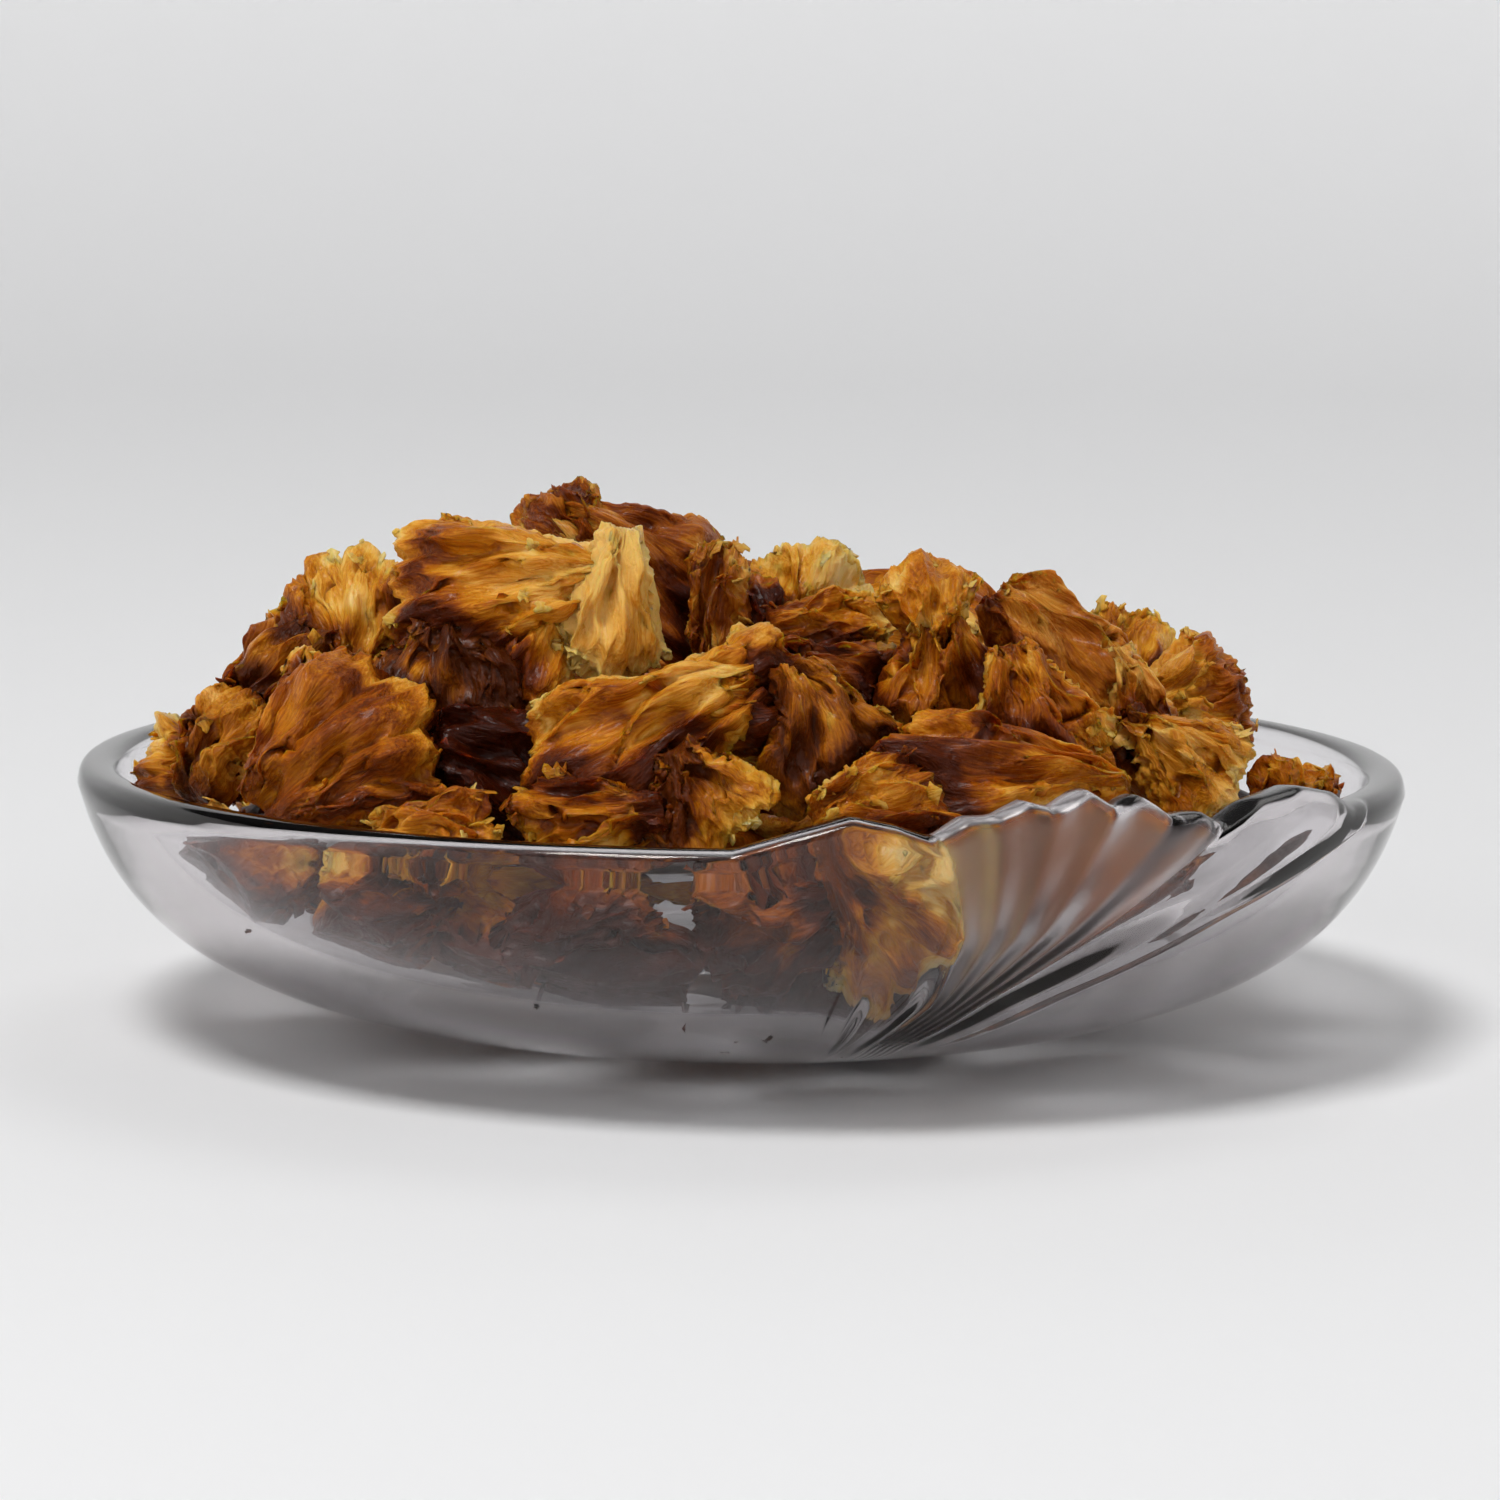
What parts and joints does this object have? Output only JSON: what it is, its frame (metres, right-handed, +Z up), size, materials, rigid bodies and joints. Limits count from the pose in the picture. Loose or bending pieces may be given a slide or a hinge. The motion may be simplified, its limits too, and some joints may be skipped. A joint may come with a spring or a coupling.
{
  "type": "bowl of dried pineapple pieces",
  "caption": "Shallow clear pressed-glass dish with scallop-shell fans on its rim, heaped with curled, fibrous wedges of dried pineapple",
  "frame": {"origin": "centre of the dish's flat foot, on the surface it stands on", "axes": "+Z up; -Y is the front, where the picture was taken from; +X to the right"},
  "size_m": [0.18, 0.181, 0.0751],
  "materials": {
    "clear_glass": "clear and glossy, etched on the shell fans",
    "amber_fruit": "fibrous dried fruit, sticky satin, amber",
    "golden_fruit": "fibrous dried fruit, sticky satin, golden with pale core",
    "brown_fruit": "fibrous dried fruit, sticky satin, dark brown",
    "olive_fruit": "fibrous dried fruit, sticky satin, olive brown"
  },
  "bodies": {
    "root": {"glass_dish": "clear_glass", "crest_fan": "amber_fruit", "top_fold": "brown_fruit", "top_shards": "brown_fruit", "round_fan": "golden_fruit", "amber_band": "amber_fruit", "centre_fan": "amber_fruit", "centre_lobe": "olive_fruit", "rim_curl": "golden_fruit", "lower_lip": "amber_fruit", "tall_knob": "amber_fruit", "ridge_fan": "brown_fruit", "front_fan": "amber_fruit", "long_wedge": "amber_fruit", "frill_bits": "amber_fruit", "left_block": "amber_fruit", "left_tip": "golden_fruit", "left_olive": "olive_fruit", "pale_frill": "golden_fruit", "mid_olive": "olive_fruit", "left_back_knob": "brown_fruit", "right_back_fan": "golden_fruit", "right_knob": "amber_fruit", "right_rag": "olive_fruit", "right_cube": "amber_fruit", "dark_strip": "brown_fruit", "inner_rag": "olive_fruit", "inner_dark": "brown_fruit", "rim_chip": "amber_fruit", "glass_fan": "amber_fruit", "glass_left": "brown_fruit", "glass_chip": "brown_fruit", "glass_centre": "brown_fruit", "rind_slice": "golden_fruit", "glass_lumps": "brown_fruit", "floor_piece_1": "amber_fruit", "floor_piece_2": "brown_fruit", "floor_piece_3": "amber_fruit", "wall_piece_1": "amber_fruit", "wall_piece_2": "brown_fruit", "wall_piece_3": "amber_fruit", "wall_piece_4": "olive_fruit", "wall_piece_5": "golden_fruit", "wall_piece_6": "amber_fruit", "wall_piece_7": "brown_fruit", "inner_piece_1": "amber_fruit", "inner_piece_2": "brown_fruit", "inner_piece_3": "amber_fruit", "inner_piece_4": "olive_fruit", "back_rim_piece_1": "amber_fruit", "back_rim_piece_2": "brown_fruit", "back_rim_piece_3": "amber_fruit", "back_rim_piece_4": "olive_fruit", "middle_piece_1": "amber_fruit", "middle_piece_2": "brown_fruit", "middle_piece_3": "amber_fruit", "middle_piece_4": "olive_fruit", "back_piece_1": "amber_fruit", "back_piece_2": "brown_fruit", "back_piece_3": "amber_fruit"}
  },
  "joints": []
}
